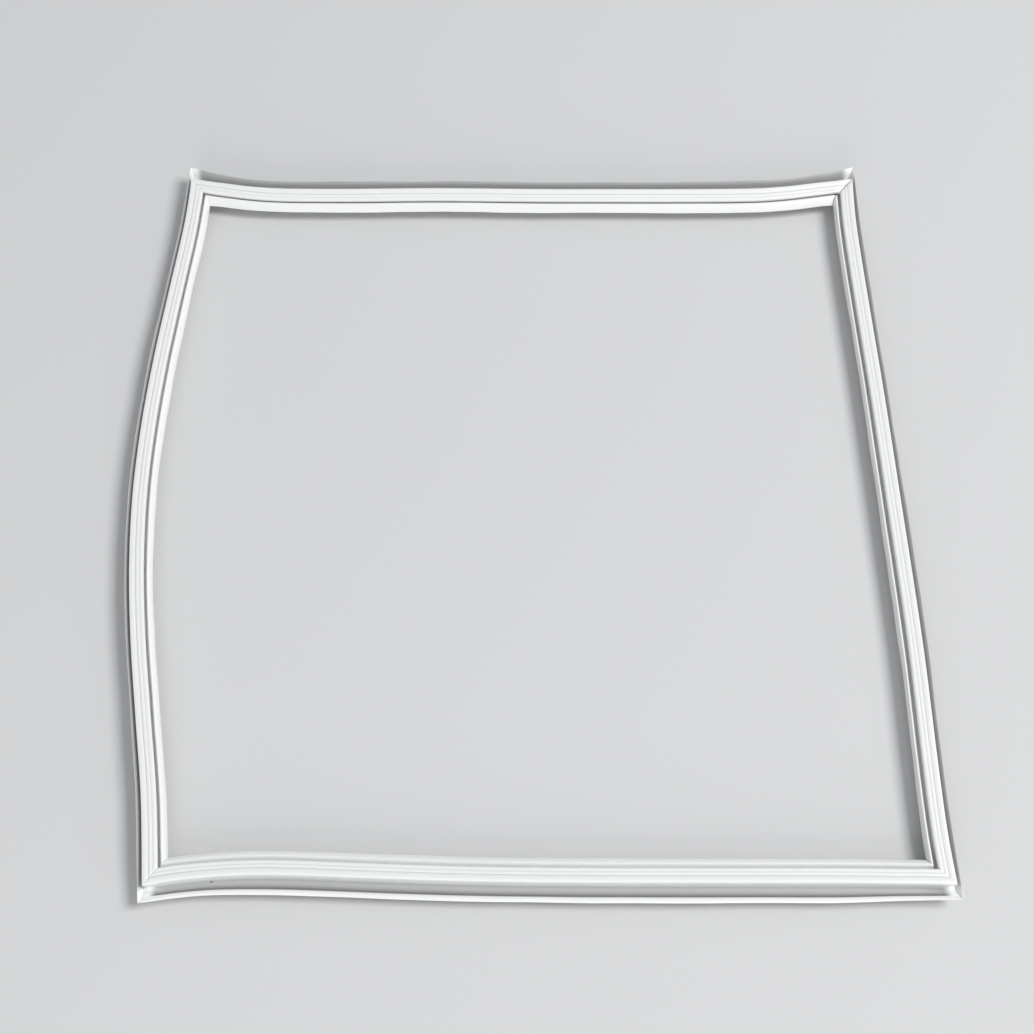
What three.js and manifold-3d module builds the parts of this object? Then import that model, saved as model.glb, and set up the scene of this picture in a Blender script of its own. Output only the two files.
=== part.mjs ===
// Refrigerator door gasket: one white PVC extrusion, mitred and heat-welded at four corners,
// with a flexible magnet strip in the pocket of each side. Millimetres, +Z up.
// It lies free with its magnetic sealing face up and stands on the tips of its push-in darts.
import * as THREE from 'three';
import { mergeVertices } from 'three/addons/utils/BufferGeometryUtils.js';
import Module from 'manifold-3d';

const wasm = await Module();
wasm.setup();

// Frame, measured between the dart centre lines of opposite sides
const frameWidth = 614;
const frameLength = 676;
const frameSkew = -20;            // how far the free-lying frame has racked, top side against bottom side

// Magnet strip and its pocket
const magnetWidth = 9.6;
const magnetThickness = 3.2;
const magnetClearance = 0.3;
const magnetEndGap = 26;          // from the mitre corner to the end of a strip
const pocketWall = 0.9;
const pocketCornerRadius = 1;
const extrusionLines = [0.6, -2.6]; // places of the two fine lines along the sealing face
const extrusionLineWidth = 0.6;
const extrusionLineDepth = 0.25;
const outerFaceFall = 0.35;       // the sealing face falls from its lines to the pocket's edges
const innerFaceFall = 0.5;

// Bellows that lets the pocket reach for the cabinet
const bellowsHeight = 6.4;
const bellowsWall = 0.9;
const bellowsFold = 1.9;          // how far each side wall folds in at half height
const bellowsShoulder = 1.2;      // how far the pocket overhangs the bellows on each side

// Base flange and push-in dart
const baseWidth = 15.2;
const baseThickness = 1.8;
const dartLength = 8.2;
const dartStem = 3;
const dartTip = 2.4;
const headBarbSpan = 6.4;
const headBarbHeight = 2.7;
const gripBarbSpan = 8.2;
const gripBarbHeight = 5.5;
const barbThickness = 0.6;

// Outer sealing lip, standing beside the pocket, and the inner cover lip beyond the groove
const lipRootThickness = 0.9;
const lipTipThickness = 0.6;
const outerLipHeight = 8.2;       // above the base flange
const outerLipReach = 3.4;        // past the edge of the base flange
const outerLipSplay = 7.4;        // further reach when the lip is folded wide open
const coverLipHeight = 8;
const coverApronLength = 8.2;     // from the crest of the cover lip to its tip

// Centre lines of the outer lip, from its root to its tip. Shut: shares of its reach and of its height.
// Wide open: share of the way out to its tip, and height over the base flange in millimetres.
const shutLipLine = [[0, 0], [0.04, 0.26], [0.18, 0.5], [0.42, 0.72], [0.7, 0.89], [1, 1]];
const openLipLine = [[0, -0.7], [0.24, -1.9], [0.46, -1.9], [0.66, 0.2], [0.84, 1.2], [1, 0.9]];

// Vents that let the bellows and the pocket breathe
const ventDiameter = 1.8;
const ventOffset = 3.3;           // from the dart centre line
const pocketSlotWidth = 1.2;
const pocketSlotLength = 8;
const cutOverrun = 0.3;           // how far a cutter runs past each face of its wall

// How the free-lying gasket has settled: each side bows, rolls inwards about its dart (degrees) and opens
// its outer lip (0 shut, 1 wide open). The crest of its cover lip stands off the pocket by a groove and may
// be pushed up, and the apron hangs from it (degrees below level).
// Bow points are [share of the side, offset outwards in millimetres].
const restingPose = { roll: 0, lipOpening: 0.1, apronAngle: 55, grooveWidth: 2.2, crestRise: 0 };
const rollAtCorner = 0.75;        // share of a side's own pose that it still has at its welded corner
const lipsAtCorner = 0.8;         // and of the pose of its lips
const settleRun = 90;             // length over which a side goes from its corner pose to its own
const sides = {
  bottom: {
    roll: 5,
    lipOpening: 1,
    apronAngle: 40,
    grooveWidth: 4.2,
    crestRise: 0,
    bow: [[0.04, -3.8], [0.1, -6.6], [0.17, -6.8], [0.28, -4.3], [0.4, -2], [0.55, -0.9], [0.8, -0.7],
      [0.95, -0.6]],
  },
  right: {
    roll: 0,
    lipOpening: 0,
    apronAngle: 80,
    grooveWidth: 3.2,
    crestRise: 0,
    bow: [[0.06, -1.4], [0.15, -0.7], [0.3, 1.3], [0.5, 0.7], [0.65, 0], [0.8, -1.7], [0.92, -2.4]],
  },
  top: {
    roll: 21,
    lipOpening: 0.6,
    apronAngle: 12,
    grooveWidth: 1.8,
    crestRise: 2.5,
    bow: [[0.04, -3.6], [0.1, -7.6], [0.2, -9.6], [0.45, -9.7], [0.63, -8.6], [0.78, -9.5], [0.9, -8.4],
      [0.96, -4.5]],
  },
  left: {
    roll: 0,
    lipOpening: -0.08,
    apronAngle: 66,
    grooveWidth: 2.5,
    crestRise: 0,
    bow: [[0.05, 2.2], [0.1, 5.6], [0.2, 14.5], [0.3, 22.8], [0.4, 28.8], [0.5, 31.4], [0.6, 29.4],
      [0.7, 23.4], [0.8, 14.6], [0.9, 5.6]],
  },
};

// At the weld between these two sides the second has tucked under the first
const tuckingSide = 'right';
const tuckedSide = 'top';
const tuckDepth = 3;
const tuckRun = 8;                // over which the tucked end rounds down
const tuckEdge = 2;               // over which its neighbour falls to it

// Fineness of the loft
const cornerRun = 24;             // from a mitre corner to the first square section
const stationStep = 50;
const tuckSteps = 3;
const outerLipSteps = 6;
const coverLipSteps = 6;

// Sizes that follow from the ones above
const pocketInnerWidth = magnetWidth + 2 * magnetClearance;
const pocketInnerHeight = magnetThickness + 2 * magnetClearance;
const pocketHalf = pocketInnerWidth / 2 + pocketWall;
const baseHalf = baseWidth / 2;
const baseTop = dartLength + baseThickness;
const pocketFloor = baseTop + bellowsHeight;
const pocketCavityFloor = pocketFloor + pocketWall;
const magnetFloor = pocketCavityFloor + magnetClearance;
const sealingFace = pocketCavityFloor + pocketInnerHeight + pocketWall;
const bellowsTopHalf = pocketHalf - bellowsShoulder;
const bellowsFootHalf = bellowsTopHalf + bellowsWall;
const bellowsPinchHalf = bellowsTopHalf - bellowsFold;
const bellowsMiddle = baseTop + bellowsHeight / 2;

const white = new THREE.MeshStandardMaterial({ color: 0xe8e9e5, roughness: 0.42, metalness: 0 });
const ferrite = new THREE.MeshStandardMaterial({ color: 0x2c2826, roughness: 0.75, metalness: 0.1 });

// A section is drawn with x outwards from the dart centre line and y up from the dart tip.
const at = (x, y) => new THREE.Vector2(x, y);
const mirrored = (points) => points.map((p) => at(-p.x, p.y)).reverse();

// Right half of the dart, from its blunt tip up to the base flange
function dartEdge() {
  const stem = dartStem / 2;
  const barb = (span, height) => [
    at(span / 2, height),
    at(span / 2 - barbThickness / 3, height + barbThickness),
    at(stem, height),
  ];
  return [
    at(dartTip / 2, 0),
    ...barb(headBarbSpan, headBarbHeight),
    at(stem, gripBarbHeight - 2 * barbThickness),
    ...barb(gripBarbSpan, gripBarbHeight),
    at(stem, dartLength),
    at(baseHalf, dartLength),
  ];
}

// Both edges of a lip that follows a centre line: out along its right side, round the tip, and back
function lipEdges(centreLine, steps) {
  const curve = new THREE.SplineCurve(centreLine);
  const out = [];
  const back = [];
  for (let i = 0; i <= steps; i++) {
    const t = i / steps;
    const centre = curve.getPoint(t);
    const along = curve.getTangent(t);
    const half = THREE.MathUtils.lerp(lipRootThickness, lipTipThickness, t) / 2;
    out.push(at(centre.x + along.y * half, centre.y - along.x * half));
    back.unshift(at(centre.x - along.y * half, centre.y + along.x * half));
  }
  const tip = curve.getPoint(1).addScaledVector(curve.getTangent(1), lipTipThickness / 2);
  return [...out, tip, ...back];
}

// The outer lip stands beside the pocket when shut and lies wide open when opening is 1
function outerLip(opening) {
  const root = baseHalf - lipRootThickness / 2;
  const shut = shutLipLine.map(([out, up]) => (
    at(root + out * outerLipReach, baseTop + up * outerLipHeight)));
  const open = openLipLine.map(([out, up]) => (
    at(baseHalf + out * (outerLipReach + outerLipSplay), baseTop + up)));
  return lipEdges(shut.map((p, i) => p.lerp(open[i], opening)), outerLipSteps);
}

// The cover lip rises beyond the groove, turns over its crest and lets its apron hang inwards
function coverLip({ apronAngle, grooveWidth, crestRise }) {
  const root = at(-baseHalf + lipRootThickness / 2, baseTop);
  const crest = at(-pocketHalf - grooveWidth - lipRootThickness / 2, baseTop + coverLipHeight + crestRise);
  const hang = THREE.MathUtils.degToRad(apronAngle);
  const apron = at(-Math.cos(hang), -Math.sin(hang)).multiplyScalar(coverApronLength);
  const bulge = at(-Math.sin(hang), Math.cos(hang)).multiplyScalar(0.08 * coverApronLength);
  return lipEdges([
    root,
    root.clone().lerp(crest, 0.55).add(at(0.3, 0)),
    crest,
    crest.clone().addScaledVector(apron, 0.3).add(bulge),
    crest.clone().addScaledVector(apron, 0.65).add(bulge),
    crest.clone().add(apron),
  ], coverLipSteps);
}

// Right side of the bellows and pocket, from the base flange up to the edge of the sealing face
function pocketEdge(faceFall) {
  const corner = new THREE.Path();
  const inset = pocketCornerRadius;
  corner.absarc(pocketHalf - inset, sealingFace - faceFall - inset, inset, 0, Math.PI / 2);
  return [
    at(bellowsFootHalf, baseTop),
    at(bellowsPinchHalf, bellowsMiddle),
    at(bellowsTopHalf, pocketFloor),
    at(pocketHalf, pocketFloor + pocketWall),
    ...corner.getPoints(3),
  ];
}

// The fine lines that the extrusion die leaves along the sealing face
function sealingFaceLines() {
  return extrusionLines.flatMap((x) => [
    at(x + extrusionLineWidth / 2, sealingFace),
    at(x, sealingFace - extrusionLineDepth),
    at(x - extrusionLineWidth / 2, sealingFace),
  ]);
}

const profileSection = (pose) => [
  ...dartEdge(),
  ...outerLip(pose.lipOpening),
  ...pocketEdge(outerFaceFall),
  ...sealingFaceLines(),
  ...mirrored(pocketEdge(innerFaceFall)),
  ...coverLip(pose),
  ...mirrored(dartEdge()),
];

const rectangleSection = (width, floor, height) => [
  at(width / 2, floor),
  at(width / 2, floor + height),
  at(-width / 2, floor + height),
  at(-width / 2, floor),
];

function chamberSection() {
  const half = [
    at(bellowsFootHalf - bellowsWall, baseTop),
    at(bellowsPinchHalf - bellowsWall, bellowsMiddle),
    at(bellowsTopHalf - bellowsWall, pocketFloor),
  ];
  return [...half, ...mirrored(half)];
}

// The four mitre corners of the racked frame, anticlockwise from the bottom left
function frameCorners() {
  const x = frameWidth / 2;
  const y = Math.sqrt(frameLength ** 2 - frameSkew ** 2) / 2;
  const lean = frameSkew / 2;
  return [at(-x - lean, -y), at(x - lean, -y), at(x + lean, y), at(-x + lean, y)];
}

// Centre line of one side: the chord between its corners, bowed outwards at the given points
function sideCurve(start, end, bow) {
  const chord = end.clone().sub(start);
  const outwards = at(chord.y, -chord.x).normalize();
  const bowed = bow.map(([share, offset]) => start.clone()
    .addScaledVector(chord, share)
    .addScaledVector(outwards, offset));
  return new THREE.SplineCurve([start, ...bowed, end]);
}

// A station is a place on the centre line of a side, with its outward direction and its pose
function stationAt(side, distance) {
  const share = distance / side.length;
  const along = side.curve.getTangentAt(share);
  const fromCorner = Math.min(distance, side.length - distance);
  const settled = THREE.MathUtils.smoothstep(fromCorner, cornerRun, settleRun);
  const blend = (key, atCorner) => {
    const own = THREE.MathUtils.lerp(atCorner, 1, settled);
    return THREE.MathUtils.lerp(restingPose[key], side[key], own);
  };
  return {
    centre: side.curve.getPointAt(share),
    along,
    outwards: at(along.y, -along.x),
    roll: THREE.MathUtils.degToRad(blend('roll', rollAtCorner)),
    lipOpening: blend('lipOpening', lipsAtCorner),
    apronAngle: blend('apronAngle', lipsAtCorner),
    grooveWidth: blend('grooveWidth', lipsAtCorner),
    crestRise: blend('crestRise', lipsAtCorner),
  };
}

// Rolls a section point about the dart tip, which is lifted to stay on the floor
function rolled(station, p) {
  const cos = Math.cos(station.roll);
  const sin = Math.sin(station.roll);
  const lift = (dartTip / 2) * Math.abs(sin);
  return at(p.x * cos - p.y * sin, p.y * cos + p.x * sin + lift);
}

function placed(station, p) {
  const q = rolled(station, p);
  const place = station.centre.clone().addScaledVector(station.outwards, q.x);
  return new THREE.Vector3(place.x, place.y, q.y);
}

// How far each point of a section sinks with a tucked end: the pocket and the cover lip, not the base
function tuckShare(p) {
  const inner = 1 - THREE.MathUtils.smoothstep(p.x, pocketHalf - pocketWall, baseHalf + lipRootThickness);
  const upper = THREE.MathUtils.smoothstep(p.y, baseTop - baseThickness / 2, pocketCavityFloor);
  return inner * upper;
}

// A ring near a mitre. At the mitre the lines of the two sides cross, so that each point keeps its distance
// from both centre lines. The ring leans that way, and less with its distance from the corner.
function leaningRing(side, other, fromCorner, atEnd, section, sunk = 0) {
  const station = stationAt(side, atEnd ? side.length - fromCorner : fromCorner);
  const corner = stationAt(side, atEnd ? side.length : 0);
  const meeting = stationAt(other, atEnd ? 0 : other.length);
  const lean = 1 - fromCorner / cornerRun;
  const cosine = corner.outwards.dot(meeting.outwards);
  const sine = corner.along.dot(meeting.outwards);
  const others = section(meeting).map((p) => rolled(meeting, p));
  return section(station).map((p, i) => {
    const q = rolled(station, p);
    const shift = ((others[i].x - cosine * q.x) / sine) * lean;
    const rise = ((others[i].y - q.y) / 2) * lean;
    const place = station.centre.clone()
      .addScaledVector(station.outwards, q.x)
      .addScaledVector(station.along, shift);
    return new THREE.Vector3(place.x, place.y, q.y + rise - sunk * tuckShare(p));
  });
}

// The rings that a tuck needs beside its mitre, as distances from the corner and how far each has sunk
function tuckRings(side, atEnd) {
  if (side.name === tuckingSide && atEnd) return [{ fromCorner: tuckEdge, sunk: 0 }];
  if (side.name !== tuckedSide || atEnd) return [];
  return Array.from({ length: tuckSteps }, (_, i) => {
    const share = (i + 1) / tuckSteps;
    return { fromCorner: tuckRun * share, sunk: tuckDepth * (1 - Math.sqrt(1 - (1 - share) ** 2)) };
  });
}

function squareStations(side, endGap) {
  const run = side.length - 2 * endGap;
  const steps = Math.ceil(run / stationStep);
  return Array.from({ length: steps + 1 }, (_, i) => stationAt(side, endGap + (run * i) / steps));
}

const squareRing = (station, section) => section(station).map((p) => placed(station, p));

// Skin over a row of rings; a closed row joins its last ring to its first, an open one is capped
function loft(rings, closed) {
  const count = rings[0].length;
  const index = [];
  const spans = closed ? rings.length : rings.length - 1;
  for (let i = 0; i < spans; i++) {
    const here = i * count;
    const next = ((i + 1) % rings.length) * count;
    for (let j = 0; j < count; j++) {
      const k = (j + 1) % count;
      index.push(here + j, next + j, here + k);
      index.push(here + k, next + j, next + k);
    }
  }
  if (!closed) {
    const last = (rings.length - 1) * count;
    for (let j = 1; j < count - 1; j++) {
      index.push(0, j, j + 1);
      index.push(last, last + j + 1, last + j);
    }
  }
  const geometry = new THREE.BufferGeometry().setFromPoints(rings.flat());
  geometry.setIndex(index);
  return geometry;
}

function solidOf(geometry) {
  const bare = geometry.clone();
  bare.deleteAttribute('normal');
  bare.deleteAttribute('uv');
  const merged = mergeVertices(bare);
  const vertProperties = new Float32Array(merged.attributes.position.array);
  const triVerts = new Uint32Array(merged.index.array);
  return new wasm.Manifold(new wasm.Mesh({ numProp: 3, vertProperties, triVerts }));
}

function geometryOf(solid) {
  const mesh = solid.getMesh();
  const geometry = new THREE.BufferGeometry();
  geometry.setAttribute('position', new THREE.BufferAttribute(mesh.vertProperties, 3));
  geometry.setIndex(new THREE.BufferAttribute(mesh.triVerts, 1));
  return geometry;
}

// A cutter drawn with x outwards, y along the side and z up, moved to a station
function cutterAt(station, geometry) {
  const out = placed(station, at(1, 0)).sub(placed(station, at(0, 0)));
  const up = placed(station, at(0, 1)).sub(placed(station, at(0, 0)));
  const along = up.clone().cross(out);
  const matrix = new THREE.Matrix4().makeBasis(out, along, up).setPosition(placed(station, at(0, 0)));
  return solidOf(geometry.applyMatrix4(matrix));
}

// One vent through the base flange and one slot from the bellows into the pocket
function breathers(side) {
  const station = stationAt(side, side.length / 2);
  const ventRadius = ventDiameter / 2;
  const vent = new THREE.CylinderGeometry(ventRadius, ventRadius, baseThickness + 2 * cutOverrun, 10)
    .rotateX(Math.PI / 2)
    .translate(ventOffset, 0, baseTop - baseThickness / 2);
  const slot = new THREE.BoxGeometry(pocketSlotWidth, pocketSlotLength, pocketWall + 2 * cutOverrun)
    .translate(0, 0, pocketFloor + pocketWall / 2);
  return [cutterAt(station, vent), cutterAt(station, slot)];
}

// The sides run anticlockwise, seen from above
const corners = frameCorners();
const loop = Object.entries(sides).map(([name, settled], i) => {
  const curve = sideCurve(corners[i], corners[(i + 1) % corners.length], settled.bow);
  return { name, curve, length: curve.getLength(), ...settled };
});

// Rings of a section all round the gasket: a mitre, then the stations of each side in turn
const ringsOf = (section) => loop.flatMap((side, i) => {
  const before = loop[(i + loop.length - 1) % loop.length];
  const after = loop[(i + 1) % loop.length];
  const ringAt = (other, atEnd) => ({ fromCorner, sunk }) => (
    leaningRing(side, other, fromCorner, atEnd, section, sunk));
  const mitre = { fromCorner: 0, sunk: side.name === tuckedSide ? tuckDepth : 0 };
  return [
    ...[mitre, ...tuckRings(side, false)].map(ringAt(before, false)),
    ...squareStations(side, cornerRun).map((station) => squareRing(station, section)),
    ...tuckRings(side, true).map(ringAt(after, true)),
  ];
});

function gasketFrame() {
  const pocketSection = rectangleSection(pocketInnerWidth, pocketCavityFloor, pocketInnerHeight);
  const skin = loft(ringsOf(profileSection), true);
  const pocket = loft(ringsOf(() => pocketSection), true);
  const chamber = loft(ringsOf(chamberSection), true);
  const cutters = [solidOf(pocket), solidOf(chamber), ...loop.flatMap(breathers)];
  const solid = cutters.reduce((rest, cutter) => rest.subtract(cutter), solidOf(skin));
  return geometryOf(solid);
}

// A strip lies in the middle of its pocket and ends short of the mitres. It shares the pocket's
// stations, so that the two stay parallel.
function magnetStrip(side) {
  const section = rectangleSection(magnetWidth, magnetFloor, magnetThickness);
  const pocketRow = squareStations(side, cornerRun);
  const row = [
    stationAt(side, magnetEndGap),
    ...pocketRow.slice(1, -1),
    stationAt(side, side.length - magnetEndGap),
  ];
  return loft(row.map((station) => squareRing(station, () => section)), false);
}

const gasket = new THREE.Group();

const frame = new THREE.Mesh(gasketFrame(), white);
frame.name = 'gasket_frame';
gasket.add(frame);

for (const side of loop) {
  const strip = new THREE.Mesh(magnetStrip(side), ferrite);
  strip.name = `magnet_strip_${side.name}`;
  gasket.add(strip);
}

// The origin is on the floor under the middle of the whole gasket
const middle = new THREE.Box3().setFromObject(gasket).getCenter(new THREE.Vector3());
gasket.position.set(-middle.x, -middle.y, 0);

const part = new THREE.Group();
part.add(gasket);

export default part;
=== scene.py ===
"""A white refrigerator door gasket, lying free on a pale floor with its sealing face up.

Each side of the gasket is a rail along its dart and a closed outline of its section. A Geometry Nodes tree
sweeps the outlines along the rails, cuts the mitres, joins the four sides and adds the welds.
"""
import math

import bpy
import numpy as np
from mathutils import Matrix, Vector


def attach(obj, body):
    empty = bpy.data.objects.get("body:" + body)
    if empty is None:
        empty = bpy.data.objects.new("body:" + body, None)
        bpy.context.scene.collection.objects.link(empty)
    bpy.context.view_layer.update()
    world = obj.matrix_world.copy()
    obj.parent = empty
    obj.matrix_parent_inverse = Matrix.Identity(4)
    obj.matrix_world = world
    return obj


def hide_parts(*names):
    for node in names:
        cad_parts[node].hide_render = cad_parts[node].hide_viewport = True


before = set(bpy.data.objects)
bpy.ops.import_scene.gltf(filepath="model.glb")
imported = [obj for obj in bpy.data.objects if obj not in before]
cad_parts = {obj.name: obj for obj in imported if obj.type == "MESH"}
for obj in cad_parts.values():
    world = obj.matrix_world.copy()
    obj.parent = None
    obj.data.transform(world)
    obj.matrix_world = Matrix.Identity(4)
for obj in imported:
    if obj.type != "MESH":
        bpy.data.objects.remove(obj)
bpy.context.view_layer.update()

MM = 0.001

# Frame, between the dart centre lines of opposite sides
FRAME_WIDTH = 614 * MM
FRAME_LENGTH = 676 * MM
FRAME_SKEW = -20 * MM
FRAME_MIDDLE = (-9.879 * MM, -2.854 * MM)    # of the whole gasket, from the middle of its rails' corners

# Pocket for the magnet strip
POCKET_WIDTH = 12 * MM
POCKET_HEIGHT = 5.6 * MM
POCKET_WALL = 0.9 * MM
POCKET_CORNER_RADIUS = 1 * MM
MAGNET_CAVITY_WIDTH = 10.2 * MM
MAGNET_CAVITY_HEIGHT = 3.8 * MM
EXTRUSION_LINES = (0.6 * MM, -2.6 * MM)
EXTRUSION_LINE_WIDTH = 0.6 * MM
EXTRUSION_LINE_DEPTH = 0.16 * MM
# strength of the painted shade in each die line
EXTRUSION_LINE_SHADE_STRENGTH = (1, 0.5)
EXTRUSION_LINE_SHAPE = ((0.5, 0), (0.22, 0.8), (0, 1), (-0.22, 0.8), (-0.5, 0))    # shares of both
EXTRUSION_LINE_SHADE = 0.3       # reach of the shade in a line, as a share of its width
OUTER_FACE_FALL = 0.35 * MM      # from the lines of the sealing face to the pocket's edges
INNER_FACE_FALL = 0.5 * MM
POCKET_FOOT_RADIUS = 0.5 * MM

# Bellows, base flange and push-in dart
BELLOWS_HEIGHT = 6.4 * MM
BELLOWS_WALL = 0.9 * MM
BELLOWS_FOLD = 1.9 * MM
BELLOWS_SHOULDER = 1.2 * MM
BELLOWS_FOLD_RADIUS = 0.8 * MM
BELLOWS_TOP_RADIUS = 0.4 * MM
BASE_WIDTH = 15.2 * MM
BASE_THICKNESS = 1.8 * MM
DART_LENGTH = 8.2 * MM
DART_STEM = 3 * MM
DART_TIP = 2.4 * MM
HEAD_BARB_SPAN = 6.4 * MM
HEAD_BARB_HEIGHT = 2.7 * MM
GRIP_BARB_SPAN = 8.2 * MM
GRIP_BARB_HEIGHT = 5.5 * MM
BARB_THICKNESS = 0.6 * MM
BARB_SLANT = BARB_THICKNESS / 3
DART_RADIUS = 0.25 * MM

# Outer sealing lip and inner cover lip
LIP_ROOT = 0.9 * MM
LIP_TIP = 0.6 * MM
OUTER_LIP_HEIGHT = 8.2 * MM
OUTER_LIP_REACH = 3.4 * MM
OUTER_LIP_SPLAY = 7.4 * MM
# Centre lines of the outer lip. Shut: shares of its reach and of its height.
# Wide open: share of the way out to its tip, and height over the base flange in millimetres.
SHUT_LIP_LINE = ((0, 0), (0.04, 0.26), (0.18, 0.5), (0.42, 0.72), (0.7, 0.89), (1, 1))
OPEN_LIP_LINE = ((0, -0.7), (0.24, -1.9), (0.46, -1.9), (0.66, 0.2), (0.84, 1.2), (1, 0.9))
COVER_LIP_HEIGHT = 8 * MM
COVER_APRON_LENGTH = 8.2 * MM
COVER_LIP_FOOT = 0.3 * MM        # how far the cover lip leans back over its root
COVER_LIP_BEND = 0.55            # share of its height at which it does so
APRON_STEPS = (0.3, 0.65)        # shares of the apron's length at which it bulges
APRON_BULGE = 0.08               # share of the apron's length by which it bulges

# How each side has settled: roll inwards (degrees), outer lip open from 0 to 1, apron of the cover lip
# below level (degrees), groove between pocket and cover lip and rise of its crest (millimetres), how far the
# outer lip's bead is left out of the painted shade on its web, and the strength of that painted shade (0 to
# 1), and bow points as (share of the side, offset outwards in millimetres)
RESTING_POSE = {"roll": 0, "lip_opening": 0.1, "apron_angle": 55, "groove": 2.2, "crest_rise": 0}
ROLL_AT_CORNER = 0.75
LIPS_AT_CORNER = 0.8
SETTLE_RUN = 90 * MM
CORNER_RUN = 24 * MM
SIDES = {
    "bottom": {
        "roll": 5, "lip_opening": 1, "apron_angle": 40, "groove": 4.2, "crest_rise": 0,
        "bead_unshaded": 1, "web_shade": 1,
        "bow": [(0.04, -3.8), (0.1, -6.6), (0.17, -6.8), (0.28, -4.3), (0.4, -2), (0.55, -0.9),
                (0.8, -0.7), (0.95, -0.6)],
    },
    "right": {
        "roll": 0, "lip_opening": 0, "apron_angle": 80, "groove": 3.2, "crest_rise": 0,
        "bead_unshaded": 0, "web_shade": 0.7,
        "bow": [(0.06, -1.4), (0.15, -0.7), (0.3, 1.3), (0.5, 0.7), (0.65, 0), (0.8, -1.7), (0.92, -2.4)],
    },
    "top": {
        "roll": 21, "lip_opening": 0.6, "apron_angle": 12, "groove": 1.8, "crest_rise": 2.5,
        "bead_unshaded": 0.1, "web_shade": 0.8,
        "bow": [(0.04, -3.6), (0.1, -7.6), (0.2, -9.6), (0.45, -9.7), (0.63, -8.6), (0.78, -9.5),
                (0.9, -8.4), (0.96, -4.5)],
    },
    "left": {
        "roll": 0, "lip_opening": -0.08, "apron_angle": 66, "groove": 2.5, "crest_rise": 0,
        "bead_unshaded": 0.1, "web_shade": 0.8,
        "bow": [(0.05, 2.2), (0.1, 5.6), (0.2, 14.5), (0.3, 22.8), (0.4, 28.8), (0.5, 31.4), (0.6, 29.4),
                (0.7, 23.4), (0.8, 14.6), (0.9, 5.6)],
    },
}

# The start of one side has tucked under the end of the side before it, at their weld
TUCKED_SIDE = "top"
TUCKING_SIDE = "right"
TUCK_DEPTH = 5 * MM
TUCK_RUN = 8 * MM
TUCK_EDGE = 0.5 * MM

# Where the bottom side meets its neighbours, melted vinyl fills the channel of the open outer lip.
# Full and no fill, as distances from the weld and as shares of the way to the lip's tip.
FILLED_SIDE = "bottom"
FILL_RISE = 2.4 * MM
FILL_RUN = (5 * MM, 9 * MM)
FILL_SPAN = (0.25, 0.7)

# How far the tip of the outer lip is pulled out at each weld, by the side that starts there: x, y, z in mm
HORNS = {"bottom": (0, 0, 0), "right": (-1.4, 1.2, 1.4), "top": (-3.2, 3.4, 3.0), "left": (2.1, 3.0, 2.6)}
HORN_RUN = 26 * MM
HORN_CURL = 1.6                  # power of the way to the tip; above 1, the tip is pulled the most

# Soft waves in the lips, and the bead of melted vinyl on each weld
LIP_WAVE_HEIGHT = 0.45 * MM
LIP_WAVE_LENGTH = 70 * MM
LIP_WAVE_TWIST = 14.0            # how fast the waves change round the section
LIP_WAVE_GROWTH = 1.5            # power of the way to the tip; above 1, the tip waves the most
LIP_WAVE_SPREAD = 4.0            # makes the noise, which keeps near its middle, about -1 to 1
WELD_BEAD_HEIGHT = 0.22 * MM
WELD_BEAD_WIDTH = 1.1 * MM
WELD_ROUGHNESS = 0.7
WELD_GRAIN_SCALE = 420.0
MERGE_DISTANCE = 0.02 * MM
SEED = 7

# Fineness
CURVE_SAMPLES = 1500
STATION_STEP = 5.8 * MM
WELD_STATIONS = (0.5, 1.0, 1.6, 2.4, 3.4, 5.0, 7.5)     # distances from a weld, in millimetres
LIP_STEPS = 13
TIP_STEPS = 4
FILLET_STEPS = 3
FILLET_SHARE = 0.45              # most that a fillet takes of an edge beside its corner

# Marks on the vinyl: the patch beside each weld of the outer lip, where the painted shade on its web fades
# out, and one speck of dirt
WEB_SHADE_WELD_FADE = (2.5 * MM, 8 * MM)  # distances from the weld over which it fades
SPECK_RUN = 46 * MM              # along the bottom side
SPECK_FROM_FOOT = 0.3 * MM       # from the foot of the bellows towards the outer lip
SPECK_LENGTH = 1.7 * MM
SPECK_WIDTH = 1.2 * MM
SPECK_EDGE = (0.3, 1.0)          # where it starts and ends to fade, as shares of its length or width
SPECK_GRAIN = (0.2, 0.5)         # the grain's values over which it breaks up

# Finishes of the vinyl: linear colours, among them painted shade for its die lines and its lip's web, scales
# of its noises and strengths of its relief
VINYL_PLAIN = (0.84, 0.85, 0.835)
VINYL_WHITE = (0.92, 0.925, 0.915, 1)
VINYL_DULL = (0.86, 0.865, 0.855, 1)
# painted shade in the die lines of the sealing face
LINE_SHADE_COLOUR = (0.3, 0.3, 0.295, 1)
LINE_DARKNESS = 0.8
# painted shade for the outer lip's thin web, standing in for the shade in its channel
WEB_SHADE_COLOUR = (0.2, 0.2, 0.205, 1)
SPECK_COLOUR = (0.12, 0.115, 0.11, 1)
STREAKS_ALONG = 2.5
STREAKS_ACROSS = 1400.0
CLOUD_SCALE = 9.0
GRAIN_SCALE = 1500.0
STREAK_RELIEF = 0.7
GRAIN_RELIEF = 0.3
RELIEF_STRENGTH = 0.25
RELIEF_DEPTH = 0.08 * MM
VINYL_ROUGHNESS = 0.3
VINYL_DULLING = 0.14             # what its clouds add to its roughness
VINYL_IOR = 1.53
VINYL_SCATTER = 0.35
VINYL_SCATTER_DEPTH = 2 * MM

# Painted shade on the thin web of the outer lip, standing in for the shade in its channel. Where it deepens,
# and where the white bead or tip begins and lifts it, as shares of the way from the lip's root to its tip.
WEB_SHADE_DEEPENS = (0.05, 0.4)
WEB_SHADE_AT_ROOT = 0.65               # darkness at the root, as a share of the full one
BEAD_STARTS = (0.44, 0.58)
TIP_STARTS = (0.9, 1.0)
TIP_UNSHADED = 0.25

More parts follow.
